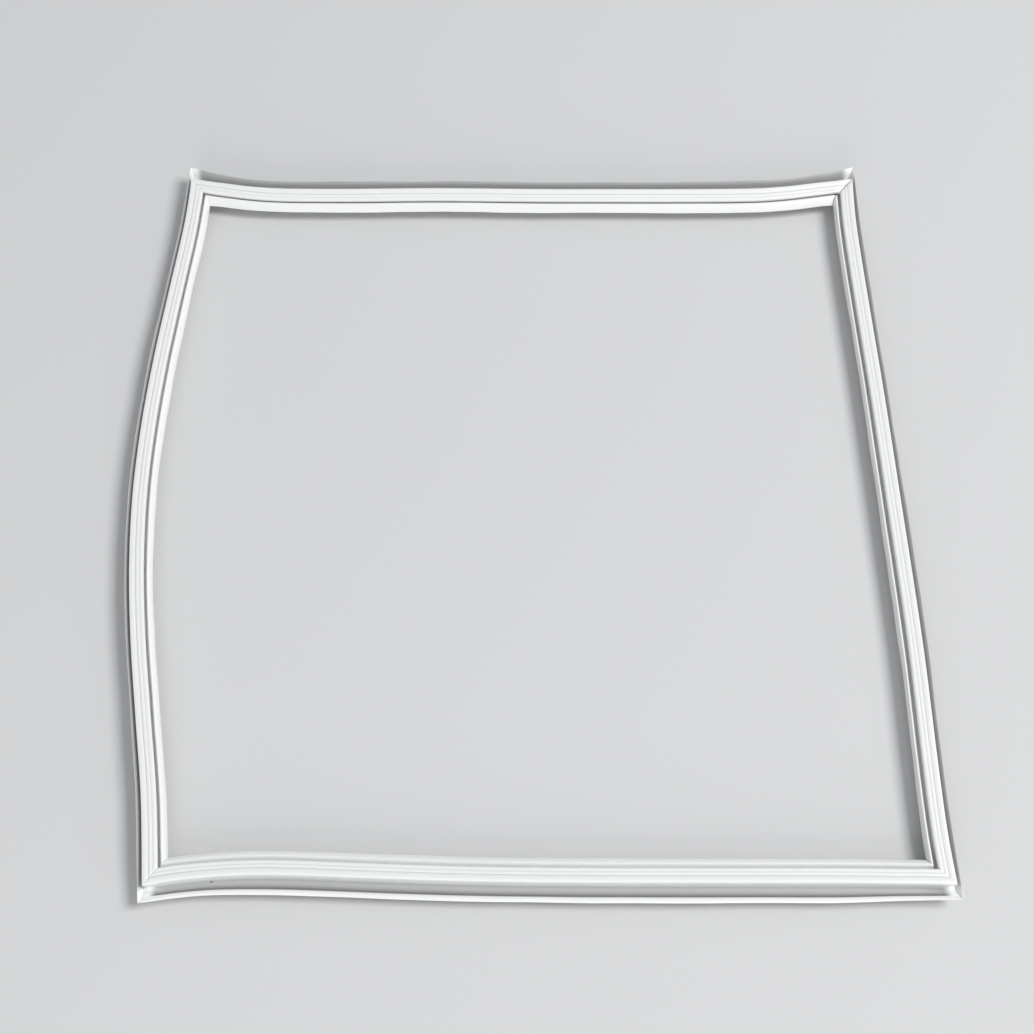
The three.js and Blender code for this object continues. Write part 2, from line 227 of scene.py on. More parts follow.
# Finishes of the magnet strips
FERRITE_PLAIN = (0.03, 0.026, 0.024)
FERRITE_DARK = (0.022, 0.02, 0.018, 1)
FERRITE_DUSTY = (0.06, 0.052, 0.047, 1)
MOTTLE_SCALE = 700.0
MOTTLE_STRENGTH = 0.3
MOTTLE_DEPTH = 0.05 * MM
FERRITE_ROUGHNESS = 0.55
FERRITE_DULLING = 0.3            # what its mottle adds to its roughness

# Floor, light and camera, in metres, watts and degrees. The camera tilts from straight down.
FLOOR_HALF = 30.0
FLOOR_COLOUR = (0.64, 0.64, 0.64)
FLOOR_ROUGHNESS = 0.95
SKY_COLOUR = (0.95, 0.97, 1, 1)
SKY_STRENGTH = 0.45
LAMPS = {
    "key": {"place": (3.9, -0.5, 5.5), "size": 2.6, "watts": 318},
    "fill": {"place": (-0.3, -3.4, 1.3), "size": 1.6, "watts": 30},
}
CAMERA_PLACE = (-4.75 * MM, -730.2 * MM, 1355.7 * MM)
CAMERA_TILT = 28.0
CAMERA_FIELD = 32.47

# Sizes that follow
BASE_TOP = DART_LENGTH + BASE_THICKNESS
POCKET_FLOOR = BASE_TOP + BELLOWS_HEIGHT
SEALING_FACE = POCKET_FLOOR + POCKET_HEIGHT
POCKET_HALF = POCKET_WIDTH / 2
BASE_HALF = BASE_WIDTH / 2
BELLOWS_TOP_HALF = POCKET_HALF - BELLOWS_SHOULDER
BELLOWS_FOOT_HALF = BELLOWS_TOP_HALF + BELLOWS_WALL
BELLOWS_PINCH_HALF = BELLOWS_TOP_HALF - BELLOWS_FOLD
BELLOWS_MIDDLE = BASE_TOP + BELLOWS_HEIGHT / 2
TUCK_SPAN = (0.55 * POCKET_HALF, 1.1 * POCKET_HALF)     # full and no tuck, outwards
TUCK_RISE = (BASE_TOP - 1 * MM, POCKET_FLOOR)           # no and full tuck, upwards


def lerp(a, b, t):
    return a + (b - a) * t


def smoothstep(value, low, high):
    t = np.clip((value - low) / (high - low), 0, 1)
    return t * t * (3 - 2 * t)


def catmull_rom(points, t):
    """Point and direction at share t of a smooth curve through the points."""
    points = np.asarray(points, float)
    place = t * (len(points) - 1)
    i = min(int(place), len(points) - 2)
    w = place - i
    p0, p1, p2, p3 = (points[min(max(i + k, 0), len(points) - 1)] for k in (-1, 0, 1, 2))
    v1, v2 = (p2 - p0) / 2, (p3 - p1) / 2
    a, b = 2 * p1 - 2 * p2 + v1 + v2, -3 * p1 + 3 * p2 - 2 * v1 - v2
    return ((a * w + b) * w + v1) * w + p1, (3 * a * w + 2 * b) * w + v1


# The section: lists of (outwards, up, share of the way from a lip's root to its tip)

def fillet(points):
    """Rounds the corners of a run of (outwards, up, radius) points; its two ends stay sharp."""
    out = []
    for i, (x, y, radius) in enumerate(points):
        here = np.array([x, y])
        if radius == 0 or i in (0, len(points) - 1):
            out.append((x, y, 0.0))
            continue
        back = np.array(points[i - 1][:2]) - here
        ahead = np.array(points[i + 1][:2]) - here
        cut = min(radius, FILLET_SHARE * np.linalg.norm(back), FILLET_SHARE * np.linalg.norm(ahead))
        start = here + back / np.linalg.norm(back) * cut
        end = here + ahead / np.linalg.norm(ahead) * cut
        for k in range(FILLET_STEPS + 1):
            t = k / FILLET_STEPS
            q = start * (1 - t) ** 2 + 2 * here * t * (1 - t) + end * t ** 2
            out.append((q[0], q[1], 0.0))
    return out


def mirrored(points):
    return [(-x, y, r) for x, y, r in reversed(points)]


def dart_edge():
    """From the tip of the dart past its two barbs to the edge of the base flange."""
    stem = DART_STEM / 2

    def barb(span, height):
        return [
            (span / 2, height, DART_RADIUS),
            (span / 2 - BARB_SLANT, height + BARB_THICKNESS, DART_RADIUS),
            (stem, height, DART_RADIUS),
        ]

    return [
        (0, 0, 0),
        (DART_TIP / 2, 0, DART_RADIUS),
        *barb(HEAD_BARB_SPAN, HEAD_BARB_HEIGHT),
        (stem, GRIP_BARB_HEIGHT - 2 * BARB_THICKNESS, DART_RADIUS),
        *barb(GRIP_BARB_SPAN, GRIP_BARB_HEIGHT),
        (stem, DART_LENGTH, 2 * DART_RADIUS),
        (BASE_HALF, DART_LENGTH, 0),
    ]


def pocket_edge(face_fall, face_edge):
    """From the base flange up to the edge of the sealing face, whose level part starts at face_edge."""
    return [
        (BELLOWS_FOOT_HALF, BASE_TOP, 0),
        (BELLOWS_PINCH_HALF, BELLOWS_MIDDLE, BELLOWS_FOLD_RADIUS),
        (BELLOWS_TOP_HALF, POCKET_FLOOR, BELLOWS_TOP_RADIUS),
        (POCKET_HALF, POCKET_FLOOR + POCKET_WALL, POCKET_FOOT_RADIUS),
        (POCKET_HALF, SEALING_FACE - face_fall, POCKET_CORNER_RADIUS),
        (face_edge, SEALING_FACE, 0),
    ]


def sealing_face_lines():
    """The fine die lines, each a shallow rounded groove."""
    return [
        (x + share * EXTRUSION_LINE_WIDTH, SEALING_FACE - depth * EXTRUSION_LINE_DEPTH, 0.0)
        for x in EXTRUSION_LINES
        for share, depth in EXTRUSION_LINE_SHAPE
    ]


def lip_edges(centre_line):
    """Both edges of a lip that follows a centre line, with a round tip."""
    out, back = [], []
    for i in range(LIP_STEPS + 1):
        t = i / LIP_STEPS
        centre, along = catmull_rom(centre_line, t)
        along = along / np.linalg.norm(along)
        half = lerp(LIP_ROOT, LIP_TIP, t) / 2
        out.append((centre[0] + along[1] * half, centre[1] - along[0] * half, t))
        back.insert(0, (centre[0] - along[1] * half, centre[1] + along[0] * half, t))
    tip = []
    for i in range(1, TIP_STEPS):
        turn = math.pi * (i / TIP_STEPS - 0.5)
        side = np.array([along[1], -along[0]]) * -math.sin(turn)
        nose = along * math.cos(turn)
        q = centre + (side + nose) * LIP_TIP / 2
        tip.append((q[0], q[1], 1.0))
    return out + tip + back


def outer_lip(opening):
    """The thin outer lip, from shut (0) to wide open (1)."""
    root = BASE_HALF - LIP_ROOT / 2
    reach, height = OUTER_LIP_REACH, OUTER_LIP_HEIGHT
    splayed = reach + OUTER_LIP_SPLAY
    shut = np.array([(root + x * reach, BASE_TOP + z * height) for x, z in SHUT_LIP_LINE])
    wide = np.array([(BASE_HALF + x * splayed, BASE_TOP + z * MM) for x, z in OPEN_LIP_LINE])
    return lip_edges(lerp(shut, wide, opening))


def cover_lip(apron_angle, groove, crest_rise):
    """The inner cover lip: a wall that leans back to its crest, and an apron that hangs from it."""
    root = np.array([-BASE_HALF + LIP_ROOT / 2, BASE_TOP])
    crest = np.array([-POCKET_HALF - groove - LIP_ROOT / 2, BASE_TOP + COVER_LIP_HEIGHT + crest_rise])
    hang = math.radians(apron_angle)
    apron = np.array([-math.cos(hang), -math.sin(hang)]) * COVER_APRON_LENGTH
    bulge = np.array([-math.sin(hang), math.cos(hang)]) * APRON_BULGE * COVER_APRON_LENGTH
    return lip_edges([
        root,
        lerp(root, crest, COVER_LIP_BEND) + np.array([COVER_LIP_FOOT, 0]),
        crest,
        *(crest + apron * share + bulge for share in APRON_STEPS),
        crest + apron,
    ])


def magnet_cavity():
    half, floor = MAGNET_CAVITY_WIDTH / 2, POCKET_FLOOR + POCKET_WALL
    right_half = [(half, floor, 0.0), (half, floor + MAGNET_CAVITY_HEIGHT, 0.0)]
    return right_half + mirrored(right_half)


def bellows_cavity():
    right_half = [
        (BELLOWS_FOOT_HALF - BELLOWS_WALL, BASE_TOP, 0.0),
        (BELLOWS_PINCH_HALF - BELLOWS_WALL, BELLOWS_MIDDLE, 0.0),
        (BELLOWS_TOP_HALF - BELLOWS_WALL, POCKET_FLOOR, 0.0),
    ]
    return right_half + mirrored(right_half)


def section(pose):
    """Closed outlines for one pose: the skin runs anticlockwise and the two cavities clockwise.

    Their columns are outwards, up, lip share, and 1 on the thin outer lip."""
    outer_edge = pocket_edge(OUTER_FACE_FALL, EXTRUSION_LINES[0] + EXTRUSION_LINE_WIDTH / 2)
    inner_edge = pocket_edge(INNER_FACE_FALL, -EXTRUSION_LINES[1] + EXTRUSION_LINE_WIDTH / 2)
    dart = fillet(dart_edge())
    parts = [
        (dart, 0),
        (outer_lip(pose["lip_opening"]), 1),
        (fillet(outer_edge)[:1], 1),
        (fillet(outer_edge)[1:-1], 0),
        (sealing_face_lines(), 0),
        (mirrored(fillet(inner_edge)[:-1]), 0),
        (cover_lip(pose["apron_angle"], pose["groove"] * MM, pose["crest_rise"] * MM), 0),
        (mirrored(dart)[:-1], 0),
    ]
    skin = [(*point, thin) for points, thin in parts for point in points]
    cavities = [[(*point, 0) for point in reversed(cavity())] for cavity in (magnet_cavity, bellows_cavity)]
    return [np.array(outline) for outline in (skin, *cavities)]


def all_points(outlines):
    return np.concatenate(outlines)


def pose_of(side, share):
    """The pose of a side where it has that share of its own pose."""
    return {key: lerp(RESTING_POSE[key], side[key], share) for key in RESTING_POSE}


def rolled(points, degrees):
    """Section points rolled about the dart tip, which stays on the floor."""
    roll = math.radians(degrees)
    cos, sin = math.cos(roll), math.sin(roll)
    out = points[:, 0] * cos - points[:, 1] * sin
    up = points[:, 1] * cos + points[:, 0] * sin + DART_TIP / 2 * abs(sin)
    return out, up


# Rails: the centre lines of the sides, anticlockwise from the bottom left corner

def frame_corners():
    """Where the rails meet; the frame leans by its skew and keeps the length of its sides."""
    x, lean = FRAME_WIDTH / 2, FRAME_SKEW / 2
    y = math.sqrt(FRAME_LENGTH ** 2 - FRAME_SKEW ** 2) / 2
    return np.array([(-x - lean, -y), (x - lean, -y), (x + lean, y), (-x + lean, y)])


def side_curve(start, end, bow):
    """Dense points, directions and distances along one bowed side."""
    chord = end - start
    outwards = np.array([chord[1], -chord[0]]) / np.linalg.norm(chord)
    through = [start, *(start + chord * share + outwards * offset * MM for share, offset in bow), end]
    samples = [catmull_rom(through, t) for t in np.linspace(0, 1, CURVE_SAMPLES)]
    points = np.array([p for p, _ in samples])
    along = np.array([d / np.linalg.norm(d) for _, d in samples])
    steps = np.linalg.norm(np.diff(points, axis=0), axis=1)
    return points, along, np.concatenate([[0], np.cumsum(steps)])


def station_distances(length):
    """Even steps along a side, with closer ones beside its two welds."""
    near = [0.0] + [d * MM for d in WELD_STATIONS]
    far = [length - d for d in reversed(near)]
    count = round((far[0] - near[-1]) / STATION_STEP)
    return np.array(near[:-1] + list(np.linspace(near[-1], far[0], count + 1)) + far[1:])


def make_rail(curve):
    """Stations along one side, with their places, headings and outward directions."""
    points, along, travelled = curve
    distances = station_distances(travelled[-1])
    place = np.stack([np.interp(distances, travelled, points[:, k]) for k in (0, 1)], axis=1)
    heading = np.stack([np.interp(distances, travelled, along[:, k]) for k in (0, 1)], axis=1)
    heading /= np.linalg.norm(heading, axis=1)[:, None]
    return {"distance": distances, "length": travelled[-1], "place": place, "along": heading,
            "outwards": np.stack([heading[:, 1], -heading[:, 0]], axis=1)}


def mitre(own, own_dirs, other, other_dirs):
    """How far along a side, and how far up, each of its section points meets the other side's."""
    (out, up), (other_out, other_up) = own, other
    normal, along = own_dirs
    cosine = float(normal @ other_dirs[0])
    shift = (other_out - cosine * out) / float(along @ other_dirs[0])
    return shift, (other_up - up) / 2


corners = frame_corners()
names = list(SIDES)
rails = {
    name: make_rail(side_curve(corners[i], corners[(i + 1) % 4], SIDES[name]["bow"]))
    for i, name in enumerate(names)
}


def corner_section(name):
    """The section of a side as it comes to its two welds, rolled."""
    side = SIDES[name]
    points = all_points(section(pose_of(side, LIPS_AT_CORNER)))
    return rolled(points, pose_of(side, ROLL_AT_CORNER)["roll"])


def end_dirs(name, end):
    rail = rails[name]
    return rail["outwards"][end], rail["along"][end]


def edge_object(name, counts, cyclic, attributes):
    """Chains of edges that carry named attributes on their points, as input to the sweep."""
    mesh = bpy.data.meshes.new(name)
    edges = []
    first = 0
    for count in counts:
        edges += [(first + i, first + i + 1) for i in range(count - 1)]
        edges += [(first + count - 1, first)] if cyclic else []
        first += count
    apart = [(i * MM, 0, 0) for i in range(first)]      # no two points in one place; the tree moves them
    mesh.from_pydata(apart, edges, [])
    for key, values in attributes.items():
        values = np.asarray(values, float)
        kind = "FLOAT" if values.ndim == 1 else "FLOAT_VECTOR"
        layer = mesh.attributes.new(key, kind, "POINT")
        layer.data.foreach_set("value" if kind == "FLOAT" else "vector", values.ravel())
    obj = bpy.data.objects.new(name, mesh)
    bpy.context.scene.collection.objects.link(obj)
    return obj


def in_space(pairs, up=False):
    """Columns of (outwards, up) or (x, y) as vectors; the section keeps its height in z."""
    x, y = pairs
    blank = np.zeros_like(x)
    return np.stack([x, blank, y] if up else [x, y, blank], axis=1)


def tuck_along(name):
    """How far each station of a side has sunk at the weld where it tucks under its neighbour."""
    rail = rails[name]
    if name == TUCKED_SIDE:
        near = np.clip(1 - rail["distance"] / TUCK_RUN, 0, 1)
        return TUCK_DEPTH * (1 - np.sqrt(1 - near ** 2))
    if name == TUCKING_SIDE:
        return TUCK_DEPTH * np.exp((rail["distance"] - rail["length"]) / TUCK_EDGE)
    return np.zeros(len(rail["distance"]))


def tuck_across(points):
    """Share of the tuck that each point of the section takes: the pocket and the cover lip, not the base."""
    inner = 1 - smoothstep(points[:, 0], *TUCK_SPAN)
    upper = smoothstep(points[:, 1], *TUCK_RISE)
    return inner * upper


def fill_along(name, to_start, to_end):
    """How far melted vinyl has filled the outer lip's channel at each station."""
    if name == FILLED_SIDE:
        return FILL_RISE * (1 - smoothstep(np.minimum(to_start, to_end), *FILL_RUN))
    i = names.index(name)
    to_weld = {names[i - 1]: to_start, names[(i + 1) % 4]: to_end}.get(FILLED_SIDE, np.inf)
    return FILL_RISE * (1 - smoothstep(to_weld, 0, FILL_RUN[0])) * np.ones(len(to_start))


def fill_across(points):
    """Share of the fill that each point of the section takes: the channel up to the outer lip's bead."""
    return points[:, 3] * (1 - smoothstep(points[:, 2], *FILL_SPAN))


def line_shade_across(points):
    """How much painted shade each point of the section takes in a die line, by how deep it lies there: 1 at
    the bottom of the clearest one.
    """
    on_face = points[:, 1] > SEALING_FACE - 2 * EXTRUSION_LINE_DEPTH
    depth = np.zeros(len(points))
    for line, clearness in zip(EXTRUSION_LINES, EXTRUSION_LINE_SHADE_STRENGTH):
        reach = EXTRUSION_LINE_SHADE * EXTRUSION_LINE_WIDTH
        depth += clearness * np.exp(-((points[:, 0] - line) / reach) ** 2)
    return depth * on_face


def horn_along(name, to_start, to_end):
    """How far each station's lip tip is pulled out by the horns at the two welds of its side."""
    after = names[(names.index(name) + 1) % 4]
    near_start, near_end = (np.exp(-distance / HORN_RUN) for distance in (to_start, to_end))
    return np.outer(near_start, HORNS[name]) * MM + np.outer(near_end, HORNS[after]) * MM


def horn_across(points):
    """Share of the horns' pull that each point of the section takes: the outer lip, most at its tip."""
    return points[:, 3] * points[:, 2] ** HORN_CURL


def rail_object(name, start_of_run):
    """The rail of a side; its run goes on from that of the side before it."""
    rail, side = rails[name], SIDES[name]
    to_start, to_end = rail["distance"], rail["length"] - rail["distance"]
    to_weld = np.minimum(to_start, to_end)
    settled = smoothstep(to_weld, CORNER_RUN, SETTLE_RUN)
    roll = np.radians([pose_of(side, lerp(ROLL_AT_CORNER, 1, s))["roll"] for s in settled])
    return edge_object(f"rail_{name}", [len(roll)], False, {
        "rail": in_space(rail["place"].T),
        "outwards": in_space(rail["outwards"].T),
        "along": in_space(rail["along"].T),
        "settled": settled,
        "roll": roll,
        "near_start": np.clip(1 - to_start / CORNER_RUN, 0, 1),
        "near_end": np.clip(1 - to_end / CORNER_RUN, 0, 1),
        "from_weld": to_weld,
        "run": start_of_run + rail["distance"],
        "tuck": tuck_along(name),
        "fill": fill_along(name, to_start, to_end),
        "horn": horn_along(name, to_start, to_end),
        # how far the lip's bead is left out of the painted web shade, and how strong that painted shade is
        "bead_unshaded": np.full(len(roll), side["bead_unshaded"], float),
        "web_shade": np.full(len(roll), side["web_shade"], float),
    })


def girth_of(points):
    """How far round the section each point lies."""
    steps = np.linalg.norm(np.diff(points[:, :2], axis=0), axis=1)
    return np.concatenate([[0], np.cumsum(steps)])


def speck_girth():
    """Where round the section of the bottom side the speck lies."""
    points = all_points(section(pose_of(SIDES["bottom"], 1)))
    foot = np.isclose(points[:, 0], BELLOWS_FOOT_HALF) & np.isclose(points[:, 1], BASE_TOP)
    return float(girth_of(points)[np.flatnonzero(foot)[0]]) - SPECK_FROM_FOOT


def outline_object(name):
    """The section of a side, with how far each of its points moves at the two mitres."""
    i = names.index(name)
    before, after = names[i - 1], names[(i + 1) % 4]
    outlines = section(pose_of(SIDES[name], 1))
    own = all_points(outlines)
    at_corner = all_points(section(pose_of(SIDES[name], LIPS_AT_CORNER)))
    start = mitre(corner_section(name), end_dirs(name, 0), corner_section(before), end_dirs(before, -1))
    end = mitre(corner_section(name), end_dirs(name, -1), corner_section(after), end_dirs(after, 0))
    return edge_object(f"outline_{name}", [len(outline) for outline in outlines], True, {
        "own_section": in_space(own[:, :2].T, up=True),
        "corner_section": in_space(at_corner[:, :2].T, up=True),
        "shift_at_start": start[0],
        "rise_at_start": start[1],
        "shift_at_end": end[0],
        "rise_at_end": end[1],
        "lip": own[:, 2],
        "thin": own[:, 3],
        "girth": girth_of(own),
        "tuck_share": tuck_across(all_points(section(RESTING_POSE))),
        "fill_share": fill_across(own),
        "horn_share": horn_across(own),
        # painted shade in the die lines
        "line": line_shade_across(own),
        "skin": np.concatenate([np.full(len(outline), i == 0, float) for i, outline in enumerate(outlines)]),
    })


# Node tree helpers

class Tree:
    """A node tree with short calls for the nodes that this scene uses."""

    def __init__(self, tree):
        self.tree = tree

    def node(self, kind, inputs=(), **settings):
        node = self.tree.nodes.new(kind)
        for key, value in settings.items():
            setattr(node, key, value)
        for key, value in dict(inputs).items():
            self.feed(node.inputs[key], value)
        return node

    def feed(self, socket, value):
        if isinstance(value, bpy.types.NodeSocket):
            self.tree.links.new(value, socket)
        else:
            socket.default_value = value

    def math(self, operation, a, b=0.0):
        return self.node("ShaderNodeMath", {0: a, 1: b}, operation=operation).outputs[0]

    def vector(self, operation, a, b=(0, 0, 0)):
        return self.node("ShaderNodeVectorMath", {0: a, 1: b}, operation=operation).outputs[0]

    def scaled(self, vector, factor):
        return self.node("ShaderNodeVectorMath", {0: vector, "Scale": factor}, operation="SCALE").outputs[0]

    def sum(self, *vectors):
        total = vectors[0]
        for vector in vectors[1:]:
            total = self.vector("ADD", total, vector)
        return total

    def named(self, name, kind="FLOAT"):
        node = self.node("GeometryNodeInputNamedAttribute", {"Name": name}, data_type=kind)
        return next(socket for socket in node.outputs if socket.enabled and socket.name == "Attribute")

    def parts_of(self, vector):
        return self.node("ShaderNodeSeparateXYZ", {0: vector}).outputs

    def vector_of(self, x, y, z):
        return self.node("ShaderNodeCombineXYZ", {0: x, 1: y, 2: z}).outputs[0]


def new_tree(name, inputs):
    """A geometry tree whose inputs are (name, socket type, value)."""
    tree = bpy.data.node_groups.new(name, "GeometryNodeTree")
    for label, kind, value in inputs:
        socket = tree.interface.new_socket(label, in_out="INPUT", socket_type=kind)
        if value is not None:
            socket.default_value = value
    tree.interface.new_socket("Geometry", in_out="OUTPUT", socket_type="NodeSocketGeometry")
    made = Tree(tree)
    return made, made.node("NodeGroupInput").outputs, made.node("NodeGroupOutput")


def sweep_tree():
    """One side: its outline swept along its rail, rolled, and cut to its two mitres."""
    t, given, result = new_tree("sweep_side", [
        ("Rail", "NodeSocketObject", None),
        ("Outline", "NodeSocketObject", None),
        ("Dart tip width", "NodeSocketFloat", DART_TIP),
    ])

    def as_curve(socket):
        source = t.node("GeometryNodeObjectInfo", {"Object": socket})
        return t.node("GeometryNodeMeshToCurve", {"Mesh": source.outputs["Geometry"]}).outputs["Curve"]

    swept = t.node("GeometryNodeCurveToMesh", {
        "Curve": as_curve(given["Rail"]),
        "Profile Curve": as_curve(given["Outline"]),
    }).outputs["Mesh"]

    settled = t.named("settled")
    mixed = t.sum(
        t.scaled(t.named("own_section", "FLOAT_VECTOR"), settled),
        t.scaled(t.named("corner_section", "FLOAT_VECTOR"), t.math("SUBTRACT", 1.0, settled)),
    )
    x, _, z = t.parts_of(mixed)
    roll = t.named("roll")
    cos, sin = t.math("COSINE", roll), t.math("SINE", roll)
    out = t.math("SUBTRACT", t.math("MULTIPLY", x, cos), t.math("MULTIPLY", z, sin))
    up = t.math("ADD", t.math("MULTIPLY", z, cos), t.math("MULTIPLY", x, sin))
    lift = t.math("MULTIPLY", t.math("ABSOLUTE", sin), t.math("MULTIPLY", given["Dart tip width"], 0.5))
    start, end = t.named("near_start"), t.named("near_end")

    def at_ends(quantity):
        return t.math(
            "ADD",
            t.math("MULTIPLY", start, t.named(f"{quantity}_at_start")),
            t.math("MULTIPLY", end, t.named(f"{quantity}_at_end")),
        )

    tuck = t.math("MULTIPLY", t.named("tuck"), t.named("tuck_share"))
    fill = t.math("MULTIPLY", t.named("fill"), t.named("fill_share"))
    height = t.math("ADD", t.math("ADD", up, lift), at_ends("rise"))
    height = t.math("ADD", height, t.math("SUBTRACT", fill, tuck))
    place = t.sum(
        t.named("rail", "FLOAT_VECTOR"),
        t.scaled(t.named("outwards", "FLOAT_VECTOR"), out),
        t.scaled(t.named("along", "FLOAT_VECTOR"), at_ends("shift")),
        t.scaled(t.named("horn", "FLOAT_VECTOR"), t.named("horn_share")),
        t.vector_of(0.0, 0.0, height),
    )
    moved = t.node("GeometryNodeSetPosition", {"Geometry": swept, "Position": place})
    t.feed(result.inputs["Geometry"], moved.outputs["Geometry"])
    return t.tree


def gasket_tree(sweep, pairs, material):
    """All four sides joined at their mitres, with soft waves in the lips and a bead on each weld."""
    t, given, result = new_tree("door_gasket", [
        ("Lip wave height", "NodeSocketFloat", LIP_WAVE_HEIGHT),
        ("Lip wave length", "NodeSocketFloat", LIP_WAVE_LENGTH),
        ("Weld bead height", "NodeSocketFloat", WELD_BEAD_HEIGHT),
        ("Weld bead width", "NodeSocketFloat", WELD_BEAD_WIDTH),
        ("Weld roughness", "NodeSocketFloat", WELD_ROUGHNESS),
        ("Mitre merge distance", "NodeSocketFloat", MERGE_DISTANCE),
        ("Seed", "NodeSocketInt", SEED),
    ])
    join = t.node("GeometryNodeJoinGeometry")
    for rail, outline in pairs:
        side = t.node("GeometryNodeGroup", node_tree=sweep)
        t.feed(side.inputs["Rail"], rail)
        t.feed(side.inputs["Outline"], outline)
        t.tree.links.new(side.outputs["Geometry"], join.inputs["Geometry"])
    whole = t.node("GeometryNodeMergeByDistance", {
        "Geometry": join.outputs["Geometry"],
        "Distance": given["Mitre merge distance"],
    }).outputs["Geometry"]

    # waves that run along each lip and fade towards its root and its welds
    along = t.math("DIVIDE", t.named("run"), given["Lip wave length"])
    waves = t.node("ShaderNodeTexNoise", {
        "Vector": t.vector_of(along, t.math("MULTIPLY", t.named("girth"), LIP_WAVE_TWIST), given["Seed"]),
        "Scale": 1.0,
        "Detail": 1.0,
    }, noise_dimensions="3D").outputs["Fac"]
    free = t.math("MINIMUM", t.math("DIVIDE", t.named("from_weld"), SETTLE_RUN), 1.0)
    swing = t.math("MULTIPLY", t.math("POWER", t.named("lip"), LIP_WAVE_GROWTH), free)
    swing = t.math("MULTIPLY", swing, t.math("MULTIPLY", t.math("SUBTRACT", waves, 0.5), LIP_WAVE_SPREAD))
    swing = t.math("MULTIPLY", swing, given["Lip wave height"])
    waved = t.node("GeometryNodeSetPosition", {
        "Geometry": whole,
        "Offset": t.sum(t.vector_of(0.0, 0.0, swing), t.scaled(t.named("outwards", "FLOAT_VECTOR"), swing)),
    }).outputs["Geometry"]

    # the bead of melted vinyl that stands out of each weld
    share = t.math("DIVIDE", t.named("from_weld"), given["Weld bead width"])
    fall = t.math("EXPONENT", t.math("MULTIPLY", t.math("MULTIPLY", share, share), -1.0))
    grain = t.node("ShaderNodeTexNoise", {
        "Vector": t.node("GeometryNodeInputPosition").outputs[0],
        "Scale": WELD_GRAIN_SCALE,
        "Detail": 2.0,
        "W": given["Seed"],
    }, noise_dimensions="4D").outputs["Fac"]
    uneven = t.math("ADD", 1.0, t.math("MULTIPLY", t.math("SUBTRACT", grain, 0.5), given["Weld roughness"]))
    bead = t.math("MULTIPLY", t.math("MULTIPLY", fall, uneven), given["Weld bead height"])
    bead = t.math("MULTIPLY", bead, t.named("skin"))
    welded = t.node("GeometryNodeSetPosition", {
        "Geometry": waved,
        "Offset": t.scaled(t.node("GeometryNodeInputNormal").outputs["Normal"], bead),
    }).outputs["Geometry"]

    smooth = t.node("GeometryNodeSetShadeSmooth", {"Geometry": welded}).outputs["Geometry"]
    plain = t.node("GeometryNodeRealizeInstances", {"Geometry": smooth}).outputs["Geometry"]
    finished = t.node("GeometryNodeSetMaterial", {"Geometry": plain, "Material": material})
    t.feed(result.inputs["Geometry"], finished.outputs["Geometry"])
    return t.tree


# Materials

def new_material(name, colour, roughness):
    """A material with its tree and its shader, in a plain colour until nodes are linked to it."""
    material = bpy.data.materials.new(name)
    material.use_nodes = True
    t = Tree(material.node_tree)
    shader = material.node_tree.nodes["Principled BSDF"]
    shader.inputs["Base Color"].default_value = (*colour, 1)
    shader.inputs["Roughness"].default_value = roughness
    return material, t, shader


def mix_colour(t, factor, first, second):
    """From the first colour at factor 0 to the second at 1."""
    node = t.node("ShaderNodeMix", data_type="RGBA")
    t.feed(node.inputs["Factor"], factor)
    colour_inputs = [socket for socket in node.inputs if socket.type == "RGBA"]
    t.feed(colour_inputs[0], first)
    t.feed(colour_inputs[1], second)
    return next(socket for socket in node.outputs if socket.type == "RGBA")


def attribute(t, name):
    return t.node("ShaderNodeAttribute", attribute_name=name).outputs["Fac"]


def ramp(t, value, low, high):
    """A smooth step from 0 at low to 1 at high."""
    node = t.node("ShaderNodeMapRange", {"Value": value, "From Min": low, "From Max": high},
                  interpolation_type="SMOOTHSTEP")
    return node.outputs["Result"]


def emboss(t, shader, height, strength, depth):
    """A fine relief on the whole surface."""
    bump = t.node("ShaderNodeBump", {"Strength": strength, "Distance": depth, "Height": height})
    t.feed(shader.inputs["Normal"], bump.outputs["Normal"])


def noise(t, place, scale, detail):
    """A smooth noise from 0 to 1."""
    inputs = {"Vector": place, "Scale": scale, "Detail": detail}
    return t.node("ShaderNodeTexNoise", inputs).outputs["Fac"]


def painted_web_shade(t):
    """Painted shade on the outer lip's thin web, standing in for the shade in its channel: 1 at its darkest,
    none at its beaded end or the welds.
    """
    lip = attribute(t, "lip")
    web_shade = t.math("MULTIPLY", attribute(t, "thin"), attribute(t, "web_shade"))
    deepening = t.math("MULTIPLY", ramp(t, lip, *WEB_SHADE_DEEPENS), 1 - WEB_SHADE_AT_ROOT)
    web_shade = t.math("MULTIPLY", web_shade, t.math("ADD", WEB_SHADE_AT_ROOT, deepening))
    end = t.math("MULTIPLY", ramp(t, lip, *BEAD_STARTS), attribute(t, "bead_unshaded"))
    end = t.math("MAXIMUM", end, t.math("MULTIPLY", ramp(t, lip, *TIP_STARTS), TIP_UNSHADED))
    away = ramp(t, attribute(t, "from_weld"), *WEB_SHADE_WELD_FADE)
    return t.math("MULTIPLY", t.math("MULTIPLY", web_shade, t.math("SUBTRACT", 1.0, end)), away)


def speck(t, grain):
    """One dark mark of dirt in the channel of the bottom side."""
    along = t.math("DIVIDE", t.math("SUBTRACT", attribute(t, "run"), SPECK_RUN), SPECK_LENGTH)
    across = t.math("DIVIDE", t.math("SUBTRACT", attribute(t, "girth"), speck_girth()), SPECK_WIDTH)
    reach = t.node("ShaderNodeVectorMath", {0: t.vector_of(along, across, 0.0)}, operation="LENGTH")
    mark = t.math("SUBTRACT", 1.0, ramp(t, reach.outputs["Value"], *SPECK_EDGE))
    return t.math("MULTIPLY", mark, ramp(t, grain, *SPECK_GRAIN))


